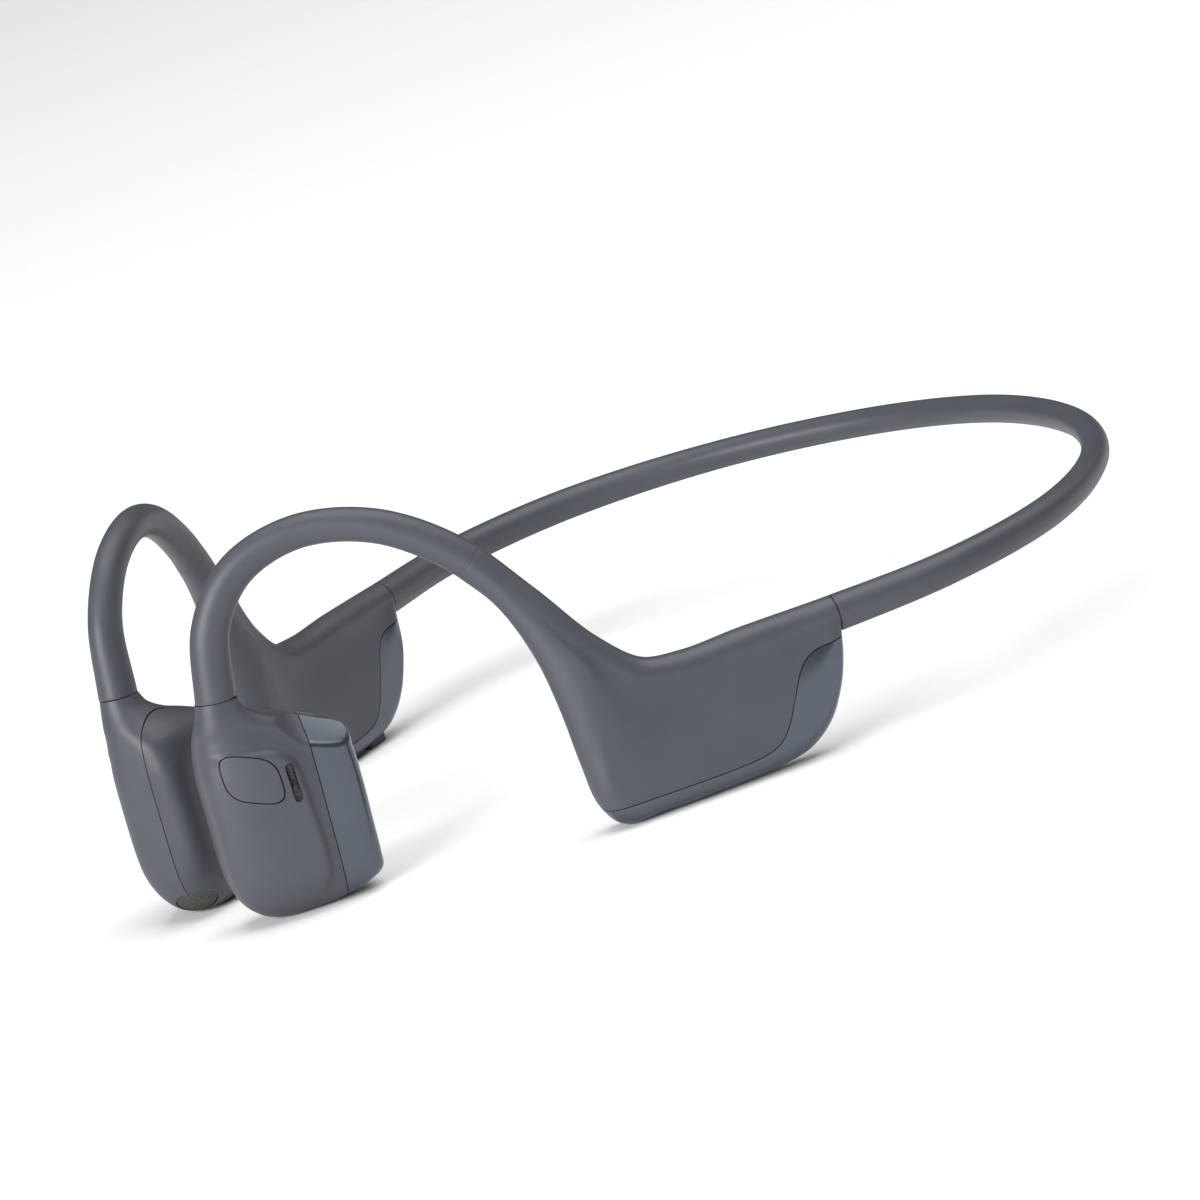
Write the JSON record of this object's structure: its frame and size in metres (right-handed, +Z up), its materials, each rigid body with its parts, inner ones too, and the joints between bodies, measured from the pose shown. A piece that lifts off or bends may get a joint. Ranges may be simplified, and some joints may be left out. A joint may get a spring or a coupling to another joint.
{
  "type": "bone conduction headphones",
  "caption": "Open-ear bone conduction headphones: springy neckband, ear hooks, battery housings and transducer pods that press on the cheekbones, with push keys.",
  "frame": {"origin": "centre of the bounding box at its base, where the pods and the battery housings rest on a table", "axes": "+Y towards the wearer's front (pods), +X towards the wearer's right, +Z up"},
  "size_m": [0.1014, 0.1265, 0.0439],
  "materials": {
    "sleeve": "soft matte silicone",
    "soft_shell": "soft-touch matte",
    "satin_cover": "satin metallic paint, fine grain",
    "key_plastic": "soft-touch matte",
    "steel": "plain",
    "grille_mesh": "woven mesh",
    "copper": "enamelled wire",
    "board": "solder mask",
    "cell_foil": "foil",
    "cable_jacket": "matte"
  },
  "bodies": {
    "right_side": {"neckband_sleeve_right": "sleeve", "neckband_wire_right": "steel", "neckband_cable_right": "cable_jacket", "earhook_sleeve_right": "sleeve", "earhook_wire_right": "steel", "earhook_cable_right": "cable_jacket", "housing_shell_right": "soft_shell", "housing_cover_right": "satin_cover", "pod_shell_right": "soft_shell", "pod_cap_right": "satin_cover", "pod_pad_right": "soft_shell", "pod_grille_right": "grille_mesh", "transducer_bracket_right": "steel", "transducer_coil_right": "copper", "transducer_magnet_right": "steel", "air_speaker_right": "cable_jacket", "main_board": "board", "board_shield": "steel", "battery_right": "cell_foil", "volume_up_switch": "steel", "volume_down_switch": "steel", "charging_socket": "steel", "charging_tongue": "cable_jacket"},
    "left_side": {"neckband_sleeve_left": "sleeve", "neckband_wire_left": "steel", "neckband_cable_left": "cable_jacket", "earhook_sleeve_left": "sleeve", "earhook_wire_left": "steel", "earhook_cable_left": "cable_jacket", "housing_shell_left": "soft_shell", "housing_cover_left": "satin_cover", "pod_shell_left": "soft_shell", "pod_cap_left": "satin_cover", "pod_pad_left": "soft_shell", "pod_grille_left": "grille_mesh", "transducer_bracket_left": "steel", "transducer_coil_left": "copper", "transducer_magnet_left": "steel", "air_speaker_left": "cable_jacket", "battery_left": "cell_foil", "battery_board": "board", "multifunction_switch": "steel", "mic_mesh": "grille_mesh", "mic_capsule": "steel", "pod_board": "board"},
    "multifunction_key": {"multifunction_button": "key_plastic"},
    "volume_up_key": {"volume_up_button": "key_plastic"},
    "volume_down_key": {"volume_down_button": "key_plastic"}
  },
  "joints": [
    {"name": "band_flex", "type": "hinge", "parent": "right_side", "child": "left_side", "pos_m": [0, -0.0632, 0.0165], "axis": [0, 0, 1], "range_deg": [0, 30], "stiffness_Nm_per_rad": 0.4},
    {"name": "multifunction_press", "type": "slide", "parent": "left_side", "child": "multifunction_key", "axis": [0.9135, -0.4067, 0], "range_m": [0, 0.0004], "stiffness_N_per_m": 800, "springref_m": -0.0002},
    {"name": "volume_up_press", "type": "slide", "parent": "right_side", "child": "volume_up_key", "axis": [0, 0, 1], "range_m": [0, 0.0003], "stiffness_N_per_m": 800, "springref_m": -0.0002},
    {"name": "volume_down_press", "type": "slide", "parent": "right_side", "child": "volume_down_key", "axis": [0, 0, 1], "range_m": [0, 0.0003], "stiffness_N_per_m": 800, "springref_m": -0.0002}
  ]
}
